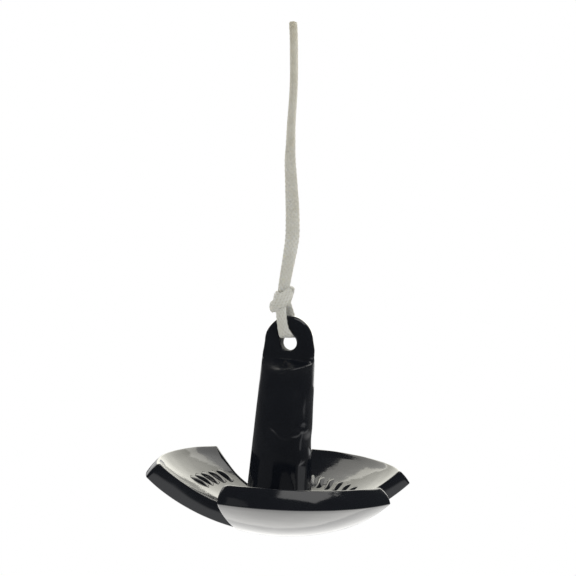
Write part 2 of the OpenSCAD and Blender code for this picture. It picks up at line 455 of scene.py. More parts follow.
def foot_circle(form):
    """Where the foot's fillet ends on the dish: its distance from the axis, and the fillet's
    centre (distance, height), tangent to the tapered shank and to the dish."""
    r = form.sizes.foot_fillet + 0.3 * form.grow
    centre_rho = form.shank_rho(form.floor_z + r) + r
    reach = form.in_r - r
    centre_z = form.sizes.bowl_centre_h - sqrt(reach ** 2 - centre_rho ** 2)
    end_rho = centre_rho * form.in_r / reach
    return end_rho, (centre_rho, centre_z, r)


def shank_field(form, x, y, z):
    """Distance-like field of the shank, negative inside: the rounded meeting of the tapered cone,
    the tab's front and back slabs that slope out over the shoulder, and the tab's two sides. The
    front slope is steep on the left and flat on the right. Under the tab its sides meet the cone
    square in the middle of the thickness, where both surfaces run together."""
    s, g = form.sizes, form.grow
    soft = 0.5 * MM

    def fall(lip):
        """Depth under a lip's height, softly nothing above it."""
        return np.logaddexp(0, (lip - z) / soft) * soft

    neck_height = 3.5 * MM
    neck = 2.2 * MM * ease((z - form.tab_foot + neck_height) / neck_height)
    swell = 0.5 * MM * (1 + np.clip(x / form.tab_side, -1, 1)) * ease((z + 64 * MM) / (44 * MM))
    cone = np.hypot(x, y) - form.shank_rho(z) - neck - swell
    lip_front = -s.shoulder_drop + 0.3 * MM - 2.8 * MM * ease((x / MM + 4) / 22)
    steep = 0.57 * np.exp(-x / np.where(x < 0, 28 * MM, 17 * MM))
    front = -y - form.tab_half - fall(lip_front) / steep
    lip_back = -s.shoulder_drop + 0.55 * g - 0.5 * MM
    back = y - form.tab_half - 1.83 * fall(lip_back)
    side_fall = 2.2 * fall(-s.shoulder_drop - 1 * MM)
    side = np.abs(x) - form.tab_side * form.tab_spread(x, z) - side_fall
    slab = np.maximum(front, back)
    square = mix(1.0, ease(np.abs(y) / form.tab_half), ease((form.tab_foot - z) / (3 * MM)))
    return round_max(round_max(cone, slab, form.tab_round), side, form.tab_round * square)


def tab_ring(form):
    """Ring of the tab's cross-section under the eye, from the right front corner counter-clockwise:
    a rectangle with round corners. Gives its polar angles and points (x, y)."""
    edge, face = form.count(20), form.count(70)
    r, half, side = form.tab_round, form.tab_half, form.tab_side
    along = np.linspace(-1, 1, edge + 1)
    quarter = 0.30
    a = np.clip((along + 1) / quarter, 0, 1) * pi / 2
    b = np.clip((along - 1 + quarter) / quarter, 0, 1) * pi / 2
    flat = np.clip((along + 1 - quarter) / (2 - 2 * quarter), 0, 1)
    ex = side - r + r * np.sin(a) - r * (1 - np.cos(b))
    ey = mix(-(half - r), half - r, flat) - r * np.cos(a) + r * np.sin(b)
    fx = np.linspace(side - r, -(side - r), face + 1)[1:-1]
    fy = np.full_like(fx, half)
    x = np.concatenate([ex, fx, -ex, -fx])
    y = np.concatenate([ey, fy, -ey, -fy])
    return x, y, edge, face


def skin_marks(angle, z):
    """Marks of the dip and the casting on the front of the shank, as a change of radius in terms
    of the angle in degrees and the height in millimetres: a low hollow on the right, a sagging
    ridge with a furrow under it that runs into the hollow's upper edge, a small blister, and at
    the foot a flat facet with a shallow beyond it and a notch over it. Bumps are bell curves."""
    a = np.degrees(np.mod(angle + pi, 2 * pi) - pi)
    z = z / MM

    def bump(a0, z0, wide, tall, power=2.0):
        return np.exp(-(np.abs((a - a0) / wide) ** power + np.abs((z - z0) / tall) ** power))

    hollow = -1.4 * bump(-12, -80.5, 34, 9.5, 2.4)
    sag = -74.5 + 7.0 * np.abs((a + 73) / 34) ** 1.5 + 0.9 * np.sin(a / 5.5 + 1.0)
    reach = ease((a + 114) / 10) * (1 - ease((a + 48) / 10)) * (0.62 + 0.38 * np.sin(a / 7.5 + 2.2))
    ridge = 0.13 * np.exp(-(z - sag) ** 2) * reach
    under = -0.12 * np.exp(-((z - sag + 2.6) / 1.6) ** 2) * reach
    ring = np.hypot((a + 38) / 13.5, (z + 65.8) / 3.4)
    blister = 0.16 * np.exp(-((ring - 1.0) / 0.28) ** 2) - 0.16 * np.exp(-(ring / 0.7) ** 2)
    low = ease((-95 - z + 0.16 * (a + 50)) / 3)
    chord = 0.5 - 12 * np.radians(a + 37.5) ** 2
    facet = -0.12 * np.logaddexp(0, chord / 0.12) * low
    beyond = -0.35 * bump(-13, -112, 9, 22) * low
    notch = -0.3 * bump(-30, -93.5, 7.5, 3.8)
    fade = ease((z + 131) / 9)
    return (hollow + ridge + under + blister + facet + beyond + notch) * fade * MM


def shank_points(form, marked):
    """Rows down the shank from the tab's foot to the dish: each point slides out along its ray
    until it meets the field's surface; below, a fillet's arc turns out onto the dish."""
    x, y, *_ = tab_ring(form)
    x = x * form.tab_spread(x, form.tab_foot)
    start = np.unwrap(np.arctan2(y, x))
    even = start[0] + np.arange(len(start)) * 2 * pi / len(start)
    _, (centre_rho, centre_z, r) = foot_circle(form)
    t = np.linspace(0, 1, form.count(120))
    z = mix(form.tab_foot, centre_z, t ** 1.18)[1:, None]
    slide = ease((form.tab_foot - z) / (14 * MM))
    angle = mix(start, even, slide)
    low, high = np.full_like(angle, 3 * MM), np.full_like(angle, 45 * MM)
    halvings = 34
    for _ in range(halvings):
        mid = (low + high) / 2
        inside = shank_field(form, mid * np.cos(angle), mid * np.sin(angle), z) < 0
        low, high = np.where(inside, mid, low), np.where(inside, high, mid)
    rho = (low + high) / 2
    if marked:
        rho = rho + skin_marks(angle, z)
    a = np.linspace(0, pi / 2 + asin(centre_rho / form.in_r), form.count(9))[1:, None]
    foot_rho = centre_rho - r * np.cos(a) + 0 * even
    foot_z = centre_z - r * np.sin(a) + 0 * even
    rows = np.concatenate([np.stack([rho * np.cos(angle), rho * np.sin(angle),
                                     z + 0 * angle], -1),
                           np.stack([foot_rho * np.cos(even), foot_rho * np.sin(even),
                                     foot_z], -1)])
    top = np.stack([x, y, np.full_like(x, form.tab_foot)], -1)[None]
    return np.concatenate([top, rows]), even


def tab_patches(form):
    """Patches of the tab: its edge section carried up the sides and over the arch, a flat face in
    front and behind as rings from the outline in to the eye, and the eye's rounded bore, which
    drifts to the right on its way back. The arch is pinched half way round, left and right."""
    x, y, edge, face = tab_ring(form)
    ex, ey = x[:edge + 1], y[:edge + 1]
    rise = form.sizes.tab_rise
    leg = np.linspace(form.tab_foot, rise, form.count(8) + 1)
    psi = np.linspace(0, pi, form.count(60) + 1)
    path_c = np.concatenate([np.ones(len(leg) - 1), np.cos(psi), -np.ones(len(leg) - 1)])
    path_s = np.concatenate([np.zeros(len(leg) - 1), np.sin(psi), np.zeros(len(leg) - 1)])
    path_z = np.concatenate([leg[:-1], rise + 0 * psi, leg[-2::-1]])
    pinch_left, pinch_right = 0.02, 0.008
    pinch = 1 - mix(pinch_left, pinch_right, (path_c + 1) / 2) * (2 * path_c * path_s) ** 2
    band = np.stack([ex * (pinch * path_c)[:, None], ey + 0 * path_c[:, None],
                     ex * (pinch * path_s)[:, None] + path_z[:, None]], -1)
    bottom_x = np.linspace(-(form.tab_side - form.tab_round), form.tab_side - form.tab_round,
                           face + 1)[1:-1]
    rim_x = np.concatenate([band[:, 0, 0], bottom_x])
    rim_z = np.concatenate([band[:, 0, 2], np.full_like(bottom_x, form.tab_foot)])
    around = np.arctan2(rim_z, rim_x)
    hole = form.bore_r + form.bore_round
    t = np.linspace(1, 0, form.count(13) + 1)[:, None]
    fx, fz = mix(hole * np.cos(around), rim_x, t), mix(hole * np.sin(around), rim_z, t)
    front = np.stack([fx, np.full_like(fx, -form.tab_half), fz], -1)
    back = front * np.array([1, -1, 1])
    a = np.linspace(0, pi / 2, form.count(6) + 1)
    lip_r = hole - form.bore_round * np.sin(a)
    lip_y = form.tab_half - form.bore_deep * (1 - np.cos(a))
    profile_r = np.concatenate([lip_r, lip_r[::-1]])[:, None]
    profile_y = np.concatenate([-lip_y, lip_y[::-1]])[:, None]
    bore = np.stack([profile_r * np.cos(around), profile_y + 0 * around,
                     profile_r * np.sin(around)], -1)
    skew = 0.8 * form.grow
    bore[..., 0] += skew * (1 + bore[..., 1] / form.tab_half) / 2
    back[..., 0] += skew * (1 - t)
    for patch in (band, front, back, bore):
        patch[..., 0] *= form.tab_spread(patch[..., 0], patch[..., 2])
    return [(band, [grid_faces(*band.shape[:2], False)]),
            (front, [grid_faces(*front.shape[:2], True)]),
            (back, [grid_faces(*back.shape[:2], True)]),
            (bore, [grid_faces(*bore.shape[:2], True)])]


def anchor_bmesh(sizes, grow, detail, marked, flip=False):
    """The whole anchor's closed surface, grown by grow, moved from the eye into the frame. Marked,
    it has the dip's marks and waves a twentieth of a millimetre high."""
    form = Form(sizes, grow, detail)
    crown, foot = crown_points(form)
    shank, even = shank_points(form, marked)
    if marked:
        wave = 0.05 * MM
        crown[..., 2] += wave * ripple(crown, 27 * MM)
        fade = ease((form.tab_foot - shank[..., 2]) / (12 * MM))
        out = shank[..., :2] / np.linalg.norm(shank[..., :2], axis=-1, keepdims=True)
        shank[..., :2] += (wave * ripple(shank, 24 * MM) * fade)[..., None] * out
    rows, columns = crown.shape[:2]
    pole = np.array([[0, 0, form.shell_z(0.0, 1.0)]])
    crown_all = np.concatenate([crown.reshape(-1, 3), pole])
    last = np.arange((rows - 1) * columns, rows * columns)
    join = np.concatenate([shank[-1], crown[0]])
    patches = [(crown_all, [grid_faces(rows, columns, True), fan_faces(last, rows * columns)]),
               (shank, [grid_faces(*shank.shape[:2], True)]),
               (join, [join_faces(even, foot)]), *tab_patches(form)]
    return bmesh_of([(points + EYE, faces) for points, faces in patches], flip)


def join_faces(even, foot):
    """Triangles from the shank's foot to the dish's first row, both turned to start together."""
    a, b = len(even), len(foot)
    inner, outer = np.mod(even, 2 * pi), np.mod(foot, 2 * pi)
    i, j = int(np.argmin(inner)), int(np.argmin(outer))
    faces = zipper_faces(np.roll(inner, -i), np.roll(outer, -j), a)
    first = (faces + i) % a
    second = (faces - a + j) % b + a
    return np.where(faces < a, first, second)


# Rows of bars: fluke, shift along the row and distance from the axis in mm, number of bars
BAR_ROWS = ((1, 6, 66, 6), (2, -14, 69, 5))
BAR_PITCH, BAR_LENGTH, BAR_WIDTH, BAR_HEIGHT = 9.4 * MM, 16 * MM, 6.6 * MM, 1.8 * MM
BAR_SLANT = radians(20)


def bar_patches(form, azimuth, rho):
    """A low bar on the dish: height falls from a narrow crest to nothing at a rounded outline, a
    superellipse, and the same grid let into the vinyl closes it below."""
    rows, columns = 26, 16
    sink, root = 0.06 * MM, 0.5 * MM
    p, q = np.meshgrid(np.linspace(-1, 1, rows), np.linspace(-1, 1, columns), indexing="ij")
    r = (np.abs(p) ** 5 + np.abs(q) ** 3.2) ** (1 / 3.2)
    top = BAR_HEIGHT * np.clip(1 - r ** 1.3, 0, 1) - sink
    low = -sink - root * (1 - ease(r)) * (r < 1)
    along, across = p * BAR_LENGTH / 2, q * BAR_WIDTH / 2
    tangential = across * cos(BAR_SLANT) + along * sin(BAR_SLANT)
    radial = along * cos(BAR_SLANT) - across * sin(BAR_SLANT)
    rr = rho + radial
    turn = azimuth + tangential / rho
    alpha = np.arcsin(rr / form.in_r)
    layers = []
    for h in (top, low):
        reach = form.in_r - h
        layers.append(np.stack([reach * np.sin(alpha) * np.cos(turn),
                                reach * np.sin(alpha) * np.sin(turn),
                                form.sizes.bowl_centre_h - reach * np.cos(alpha)], -1))
    faces = grid_faces(rows, columns, False)
    return [(layer + EYE, [faces]) for layer in layers]


# ---- braided line ---------------------------------------------------------------------------

TUBE_STEP, TUBE_AROUND = 0.55 * MM, 64


def smooth_path(stations):
    """Catmull-Rom curve through rows of [x, y, z, other values...], resampled at even steps."""
    p = np.asarray(stations, float)
    p = np.vstack([2 * p[0] - p[1], p, 2 * p[-1] - p[-2]])
    t = np.linspace(0, 1, 25)[:-1][None, :, None]
    a, b, c, d = (p[i:len(p) - 3 + i, None, :] for i in range(4))
    curve = 0.5 * (2 * b + (c - a) * t + (2 * a - 5 * b + 4 * c - d) * t ** 2
                   + (3 * b - a - 3 * c + d) * t ** 3)
    curve = np.vstack([curve.reshape(-1, p.shape[1]), p[-2]])
    run = np.append(0, np.cumsum(np.linalg.norm(np.diff(curve[:, :3], axis=0), axis=1)))
    at = np.linspace(0, run[-1], max(3, int(round(run[-1] / TUBE_STEP)) + 1))
    return np.stack([np.interp(at, run, column) for column in curve.T], 1), at


def braid_relief(u, v, strands):
    """Height of a plain braid: two families of strands wind opposite ways, each with a round
    back, and rise and dip in turn, so that each goes over one and under one. Gives the height,
    which family is on top, and the depth of the gaps."""
    a, b = strands * u + v, strands * u - v
    fa, fb = 2 * (a - np.floor(a)) - 1, 2 * (b - np.floor(b)) - 1
    back_a = np.sqrt(np.clip(1 - (0.97 * fa) ** 2, 0, 1))
    back_b = np.sqrt(np.clip(1 - (0.97 * fb) ** 2, 0, 1))
    parity_a = 1 - 2 * np.mod(np.floor(a), 2)
    parity_b = 1 - 2 * np.mod(np.floor(b), 2)
    height_a = back_a + 0.55 * np.sin(pi * b) * parity_a
    height_b = back_b - 0.55 * np.sin(pi * a) * parity_b
    height = np.maximum(height_a, height_b)
    over = 1 / (1 + np.exp(-9 * (height_a - height_b)))
    return height, over, np.clip(1.25 - height, 0, 1)


def braided_tube(stations, sizes, ends=(0.3, 0.3)):
    """A flattened braid carried along a path. Stations are [x, y, z, half width, half thickness,
    facing x, y, z]: an oval, whose thin way is the facing, pushed out by the braid's relief.
    Its ends are closed with a few rings that draw in to the middle, domed out by a share of the
    half thickness or, below nothing, dished in. Returns bmesh and path."""
    rows, at = smooth_path(stations)
    centre, half_w, half_t = rows[:, :3], rows[:, 3], rows[:, 4]
    tangent = np.gradient(centre, axis=0)
    tangent /= np.linalg.norm(tangent, axis=1, keepdims=True)
    facing = rows[:, 5:8]
    thin = facing - np.sum(facing * tangent, 1, keepdims=True) * tangent
    thin /= np.linalg.norm(thin, axis=1, keepdims=True)
    wide = np.cross(tangent, thin)
    around = TUBE_AROUND
    u = np.arange(around) / around
    flat = ((half_w - half_t) / (half_w + half_t) / 2)[:, None]
    phi = 2 * pi * u[None, :]
    phi = phi + flat * np.sin(2 * phi)
    height, over, pit = braid_relief(u[None, :], at[:, None] / sizes.lay, sizes.strands)
    nx, ny = np.cos(phi) / half_w[:, None], np.sin(phi) / half_t[:, None]
    length = np.hypot(nx, ny)
    rise = sizes.relief * (height - 1.15)
    px = half_w[:, None] * np.cos(phi) + rise * nx / length
    py = half_t[:, None] * np.sin(phi) + rise * ny / length
    ring = centre[:, None] + px[..., None] * wide[:, None] + py[..., None] * thin[:, None]
    shrink = np.array([0.92, 0.72, 0.4, 0.12])[:, None, None]
    caps = []
    for end, way, deep in ((0, -1, ends[0]), (-1, 1, ends[1])):
        drop = deep * half_t[end] * np.sqrt(1 - shrink ** 2) * way * tangent[end]
        caps.append(centre[end] + (ring[end] - centre[end]) * shrink + drop)
    grid = np.concatenate([caps[0][::-1], ring, caps[1]])
    n = len(grid)
    tips = np.stack([grid[0].mean(0), grid[-1].mean(0)])
    first = np.arange(around)
    fans = np.concatenate([fan_faces(first[::-1], n * around),
                           fan_faces((n - 1) * around + first, n * around + 1)])
    mesh = bpy.data.meshes.new("tube")
    mesh.from_pydata(np.vstack([grid.reshape(-1, 3), tips]).tolist(), [],
                     grid_faces(n, around, True).tolist() + fans.tolist())
    cap_n = len(shrink)
    for key, value in (("over", over), ("pit", pit)):
        values = np.pad(value, ((cap_n, cap_n), (0, 0)), "edge").ravel()
        layer = mesh.attributes.new(key, "FLOAT", "POINT")
        layer.data.foreach_set("value", np.append(values, values[[0, -1]]).astype(np.float32))
    v = np.pad(at, cap_n, "edge") / sizes.lay
    wrap_uv(mesh, n, around, sizes.strands, v)
    mesh.polygons.foreach_set("use_smooth", np.ones(len(mesh.polygons), bool))
    bm = bmesh.new()
    bm.from_mesh(mesh)
    bpy.data.meshes.remove(mesh)
    bmesh.ops.recalc_face_normals(bm, faces=bm.faces)
    return bm, centre


def wrap_uv(mesh, rows, around, strands, v):
    """The braid's own map: strands counted round it, and lays along it, seam kept whole."""
    layer = mesh.uv_layers.new(name="braid")
    loops = np.empty(len(mesh.loops), np.int64)
    mesh.loops.foreach_get("vertex_index", loops)
    grid = loops < rows * around
    column = np.where(grid, loops % around, 0)
    row = np.clip(loops // around, 0, rows - 1)
    starts = np.empty(len(mesh.polygons), np.int64)
    totals = np.empty(len(mesh.polygons), np.int64)
    mesh.polygons.foreach_get("loop_start", starts)
    mesh.polygons.foreach_get("loop_total", totals)
    owner = np.repeat(np.arange(len(starts)), totals)
    widest = np.maximum.reduceat(column, starts)[owner]
    column = column + np.where((column == 0) & (widest == around - 1), around, 0)
    uv = np.stack([column / around * strands, v[row]], -1)
    layer.data.foreach_set("uv", uv.astype(np.float32).ravel())


# ---- materials ------------------------------------------------------------------------------

class Nodes:
    """Short hand for adding and linking nodes in one tree."""

    def __init__(self, tree):
        self.tree = tree

    def add(self, kind, settings=None, **inputs):
        """A new node; each input, given by its name or as _ and its number, is linked or set."""
        node = self.tree.nodes.new(kind)
        for key, value in (settings or {}).items():
            setattr(node, key, value)
        for key, value in inputs.items():
            socket = node.inputs[int(key[1:]) if key[0] == "_" else key.replace("_", " ")]
            if isinstance(value, bpy.types.NodeSocket):
                self.tree.links.new(value, socket)
            else:
                socket.default_value = value
        return node

    def math(self, operation, a, b=0.0, c=0.0, clamp=False):
        return self.add("ShaderNodeMath", {"operation": operation, "use_clamp": clamp},
                        _0=a, _1=b, _2=c).outputs[0]

    def ramp(self, value, low, high, to_low=0.0, to_high=1.0):
        """Smooth step of a value between two limits."""
        node = self.add("ShaderNodeMapRange", {"interpolation_type": "SMOOTHSTEP"}, Value=value)
        for socket, number in zip(("From Min", "From Max", "To Min", "To Max"),
                                  (low, high, to_low, to_high)):
            node.inputs[socket].default_value = number
        return node.outputs[0]

    def mix_colour(self, factor, a, b):
        """Blend of two colours; the colour sockets of a mix node are its inputs 6 and 7."""
        return self.add("ShaderNodeMix", {"data_type": "RGBA"}, _0=factor, _6=(*a, 1),
                        _7=(*b, 1)).outputs[2]

    def noise(self, vector, scale, detail, rough):
        return self.add("ShaderNodeTexNoise", Vector=vector, Scale=scale, Detail=detail,
                        Roughness=rough).outputs["Fac"]


def new_group(name, ins, outs):
    """A shader node group of a vector and numbers with their defaults, which gives out numbers."""
    group = bpy.data.node_groups.new(name, "ShaderNodeTree")
    sockets, number = group.interface, "NodeSocketFloat"
    sockets.new_socket("Vector", in_out="INPUT", socket_type="NodeSocketVector")
    for label, default in ins.items():
        socket = sockets.new_socket(label, in_out="INPUT", socket_type=number)
        socket.default_value = default
    for label in outs:
        sockets.new_socket(label, in_out="OUTPUT", socket_type=number)
    nodes = Nodes(group)
    return group, nodes, nodes.add("NodeGroupInput").outputs, nodes.add("NodeGroupOutput").inputs


def uneven_group():
    """Unevenness of a poured or dipped surface: broad waves, a fine peel and sparse pits."""
    group, n, ins, outs = new_group(
        "Poured unevenness",
        {"Wave Scale": 40.0, "Peel Scale": 420.0, "Pit Scale": 190.0,
         "Wave Amount": 1.0, "Peel Amount": 0.2, "Pit Amount": 0.2},
        ["Height", "Pits", "Waves"])
    waves = n.noise(ins["Vector"], ins["Wave Scale"], 2.0, 0.4)
    peel = n.noise(ins["Vector"], ins["Peel Scale"], 2.0, 0.5)
    cells = n.add("ShaderNodeTexVoronoi", Vector=ins["Vector"], Scale=ins["Pit Scale"])
    choose = n.add("ShaderNodeSeparateColor", Color=cells.outputs["Color"]).outputs[0]
    picked = n.ramp(choose, 0.90, 0.94)
    pits = n.math("MULTIPLY", n.ramp(cells.outputs["Distance"], 0.34, 0.06), picked)
    height = n.math("MULTIPLY", waves, ins["Wave Amount"])
    height = n.math("ADD", height, n.math("MULTIPLY", peel, ins["Peel Amount"]))
    height = n.math("SUBTRACT", height, n.math("MULTIPLY", pits, ins["Pit Amount"]))
    for socket, value in ((outs["Height"], height), (outs["Pits"], pits), (outs["Waves"], waves)):
        group.links.new(value, socket)
    return group


def grime_group():
    """Blotches in two sizes, as a mask from 0, clean, to 1, soiled."""
    group, n, ins, outs = new_group("Grime", {"Scale": 30.0, "Amount": 0.5}, ["Mask"])
    broad = n.noise(ins["Vector"], ins["Scale"], 4.0, 0.6)
    fine = n.noise(ins["Vector"], n.math("MULTIPLY", ins["Scale"], 7.3), 3.0, 0.6)
    both = n.math("ADD", n.math("MULTIPLY", broad, 0.7), n.math("MULTIPLY", fine, 0.3))
    mask = n.math("MULTIPLY", n.ramp(both, 0.38, 0.66), ins["Amount"])
    group.links.new(mask, outs["Mask"])
    return group


def place_group(n, group, **inputs):
    return n.add("ShaderNodeGroup", {"node_tree": group}, **inputs).outputs


def new_material(name, **constants):
    """A material with a Principled shader; constants are set on the shader's own sockets."""
    material = bpy.data.materials.new(name)
    material.use_nodes = True
    n = Nodes(material.node_tree)
    shader = material.node_tree.nodes["Principled BSDF"]
    for key, value in constants.items():
        shader.inputs[key.replace("_", " ")].default_value = value
    return material, n, shader


def link(n, value, shader, socket):
    n.tree.links.new(value, shader.inputs[socket])


def bump(n, shader, height, distance):
    node = n.add("ShaderNodeBump", Height=height, Distance=distance, Strength=1.0)
    link(n, node.outputs[0], shader, "Normal")


def vinyl_material(sizes, colours, groups):
    """Dipped black vinyl: glossy, a little wavy with a fine peel. Low runs ring the shank and
    follow the rims: noise over the distance from the axis and the turn about it, stretched along
    the turn. The unevenness is calmer under the dome. The eye's bore is worn dull, and the tab's
    foot and shoulder are satin."""
    material, n, shader = new_material("dipped_vinyl", IOR=1.54)
    place = n.add("ShaderNodeTexCoord").outputs["Object"]
    axis = n.add("ShaderNodeVectorMath", {"operation": "SUBTRACT"}, _0=place, _1=tuple(EYE))
    x, y, z = n.add("ShaderNodeSeparateXYZ", Vector=axis.outputs[0]).outputs
    runs_per_radian, runs_per_metre = 3.2, 120.0
    around = n.math("MULTIPLY", n.math("ARCTAN2", y, x), runs_per_radian)
    square = n.math("ADD", n.math("MULTIPLY", x, x), n.math("MULTIPLY", y, y))
    outward = n.math("MULTIPLY", n.math("SQRT", square), runs_per_metre)
    runs = n.noise(n.add("ShaderNodeCombineXYZ", X=around, Y=outward).outputs[0], 1.0, 3.0, 0.55)
    shank, dish = 0.028 * runs_per_metre, 0.036 * runs_per_metre
    runs = n.math("MULTIPLY", runs, n.ramp(outward, shank, dish, 0.1, 0.8))
    bowl = tuple(EYE + [0, 0, sizes.bowl_centre_h])
    reach = n.add("ShaderNodeVectorMath", {"operation": "DISTANCE"}, _0=place, _1=bowl)
    calm = n.ramp(reach.outputs["Value"], sizes.bowl_r - 0.6 * sizes.fluke_t, sizes.bowl_r,
                  0.75, 0.3)
    bore = n.add("ShaderNodeCombineXYZ", X=x, Y=z).outputs[0]
    bore = n.add("ShaderNodeVectorMath", {"operation": "LENGTH"}, _0=bore).outputs["Value"]
    bare = sizes.eye_r - sizes.coat
    worn = n.ramp(bore, bare, bare + 0.3 * MM, 0.6, 0.0)
    satin = n.math("MULTIPLY", n.ramp(z, -34 * MM, -18 * MM, 0.0, 0.15),
                   n.ramp(z, -18 * MM, -11 * MM, 1.0, 0.0))
    uneven = place_group(n, groups["uneven"], Vector=place, Wave_Scale=55.0, Peel_Scale=420.0,
                         Pit_Scale=170.0, Wave_Amount=1.0, Peel_Amount=0.008, Pit_Amount=0.02)
    grime = place_group(n, groups["grime"], Vector=place, Scale=48.0, Amount=0.35)["Mask"]
    dusty = [c * 1.3 + 0.002 for c in colours.vinyl]
    link(n, n.mix_colour(grime, tuple(colours.vinyl), dusty), shader, "Base Color")
    rough = n.math("MULTIPLY_ADD", uneven["Waves"], 0.06, 0.05)
    rough = n.math("ADD", n.math("MULTIPLY_ADD", grime, 0.10, rough), n.math("ADD", worn, satin))
    link(n, rough, shader, "Roughness")
    height = n.math("MULTIPLY", n.math("ADD", runs, uneven["Height"]), calm)
    bump(n, shader, height, 0.25 * MM)
    return material


def iron_material(colours, groups):
    """Sand cast iron: grainy and dull, with flash rust in its hollows."""
    material, n, shader = new_material("sand_cast_iron", IOR=1.5)
    place = n.add("ShaderNodeTexCoord").outputs["Object"]
    uneven = place_group(n, groups["uneven"], Vector=place, Wave_Scale=90.0, Peel_Scale=900.0,
                         Pit_Scale=420.0, Wave_Amount=0.6, Peel_Amount=0.5, Pit_Amount=0.8)
    grime = place_group(n, groups["grime"], Vector=place, Scale=36.0, Amount=0.8)["Mask"]
    rusty = n.math("MAXIMUM", grime, uneven["Pits"])
    link(n, n.mix_colour(rusty, tuple(colours.iron), tuple(colours.rust)), shader, "Base Color")
    link(n, n.math("MULTIPLY_ADD", grime, 0.3, 0.5), shader, "Roughness")
    link(n, n.ramp(rusty, 0.1, 0.7, 0.85, 0.0), shader, "Metallic")
    bump(n, shader, uneven["Height"], 0.5 * MM)
    return material


def braid_material(colours, groups):
    """Off-white braid: fibres run along each strand. The gaps between strands are greyer and yellower,
    partly as dirt and partly as painted shade, and the line turns greyer and yellower towards its
    upper end."""
    material, n, shader = new_material(
        "hollow_braid", Sheen_Weight=0.15, Sheen_Roughness=0.5, IOR=1.46, Subsurface_Weight=0.3,
        Subsurface_Radius=(1.0, 0.9, 0.7), Subsurface_Scale=0.003)
    place = n.add("ShaderNodeTexCoord").outputs["Object"]
    uv = n.add("ShaderNodeUVMap", {"uv_map": "braid"}).outputs[0]
    xyz = n.add("ShaderNodeSeparateXYZ", Vector=uv).outputs
    over = n.add("ShaderNodeAttribute", {"attribute_name": "over"}).outputs["Fac"]
    pit = n.add("ShaderNodeAttribute", {"attribute_name": "pit"}).outputs["Fac"]
    a, b = n.math("ADD", xyz[0], xyz[1]), n.math("SUBTRACT", xyz[0], xyz[1])
    wander = n.math("MULTIPLY", n.noise(place, 700.0, 2.0, 0.6), 0.55)
    fibres, fibres_a_strand = [], 7
    for across in (a, b):
        turns = n.math("MULTIPLY", n.math("ADD", across, wander), 2 * pi * fibres_a_strand)
        fibres.append(n.math("MULTIPLY_ADD", n.math("SINE", turns), 0.5, 0.5))
    fibre = n.math("ADD", n.math("MULTIPLY", fibres[0], over),
                   n.math("MULTIPLY", fibres[1], n.math("SUBTRACT", 1.0, over)))
    fuzz = n.noise(place, 2600.0, 3.0, 0.65)
    grime = place_group(n, groups["grime"], Vector=place, Scale=34.0, Amount=0.25)["Mask"]
    z = n.add("ShaderNodeSeparateXYZ", Vector=place).outputs[2]
    # Greyer and yellower towards the line's upper end, by height alone.
    grime = n.math("ADD", grime, n.ramp(z, -0.24, 0.0, 0.0, 0.50))
    # Painted shade with some dirt: the gaps between strands are darkened by their depth towards the
    # soil colour.
    dark = n.math("MAXIMUM", n.math("MULTIPLY", pit, 0.75), grime)
    streak = n.math("MULTIPLY_ADD", fibre, -0.18, dark)
    mask = n.math("ADD", streak, 0.10, clamp=True)
    link(n, n.mix_colour(mask, tuple(colours.braid), tuple(colours.soil_and_gap_shade)), shader, "Base Color")
    link(n, n.math("MULTIPLY_ADD", fibre, -0.12, 0.68), shader, "Roughness")
    height = n.math("ADD", fibre, n.math("MULTIPLY", fuzz, 0.8))
    bump(n, shader, height, 0.10 * MM)
    return material


def paper_material():
    """Seamless white floor. The camera sees plain white beyond 1.4 m, blending to three fifths of
    the lit floor within 0.5 m; glossy and transmission rays see a white pool that fades from 1.6
    to 3 m out."""
    material, n, shader = new_material("white_floor", Base_Color=(0.9, 0.9, 0.9, 1), Roughness=0.9)
    path = n.add("ShaderNodeLightPath").outputs
    place = n.add("ShaderNodeTexCoord").outputs["Object"]
    away = n.add("ShaderNodeVectorMath", {"operation": "LENGTH"}, _0=place).outputs["Value"]
    camera = n.math("MULTIPLY", path["Is Camera Ray"], n.ramp(away, 0.5, 1.4, 0.4, 1.0))
    seen = n.math("MAXIMUM", n.math("MAXIMUM", camera, path["Is Glossy Ray"]),
                  path["Is Transmission Ray"])
    pool = n.ramp(away, 1.6, 3.0, 1.0, 0.12)
    level = n.math("MAXIMUM", pool, path["Is Camera Ray"])
    white = n.add("ShaderNodeEmission", Color=(1, 1, 1, 1), Strength=level)
    both = n.add("ShaderNodeMixShader", _0=seen, _1=shader.outputs[0], _2=white.outputs[0])
    output = n.tree.nodes["Material Output"]
    n.tree.links.new(both.outputs[0], output.inputs[0])
    return material


def studio_world():
    """White backdrop for the camera; glossy rays see it white behind and darker in front, as in
    a studio that is dark on the camera's side; other rays get an even soft grey."""
    world = bpy.data.worlds.new("studio")
    world.use_nodes = True
    n = Nodes(world.node_tree)
    back = world.node_tree.nodes["Background"]
    path = n.add("ShaderNodeLightPath").outputs
    way = n.add("ShaderNodeSeparateXYZ", Vector=n.add("ShaderNodeTexCoord").outputs["Generated"])
    rise = n.math("MULTIPLY_ADD", way.outputs[2], 0.3, way.outputs[1])
    behind = n.ramp(rise, 0.66, 0.95, 0.085, 1.0)
    shiny = n.math("MAXIMUM", path["Is Glossy Ray"], path["Is Transmission Ray"])
    plain = n.ramp(way.outputs[2], -1.0, 1.0, 0.82, 0.66)
    level = n.math("ADD", n.math("MULTIPLY", behind, shiny),
                   n.math("MULTIPLY", n.math("SUBTRACT", 1.0, shiny), plain))
    level = n.math("MAXIMUM", level, path["Is Camera Ray"])
    back.inputs["Color"].default_value = (1, 1, 1, 1)
    n.tree.links.new(level, back.inputs["Strength"])
    bpy.context.scene.world = world


# ---- operators ------------------------------------------------------------------------------

def shared(name, make):
    """A material or group that is made once and then found by its name."""
    return bpy.data.materials.get(name) or bpy.data.node_groups.get(name) or make()


def groups():
    return {"uneven": shared("Poured unevenness", uneven_group),
            "grime": shared("Grime", grime_group)}


def braid(scene):
    return shared("hollow_braid", lambda: braid_material(scene.anchor_colours, groups()))


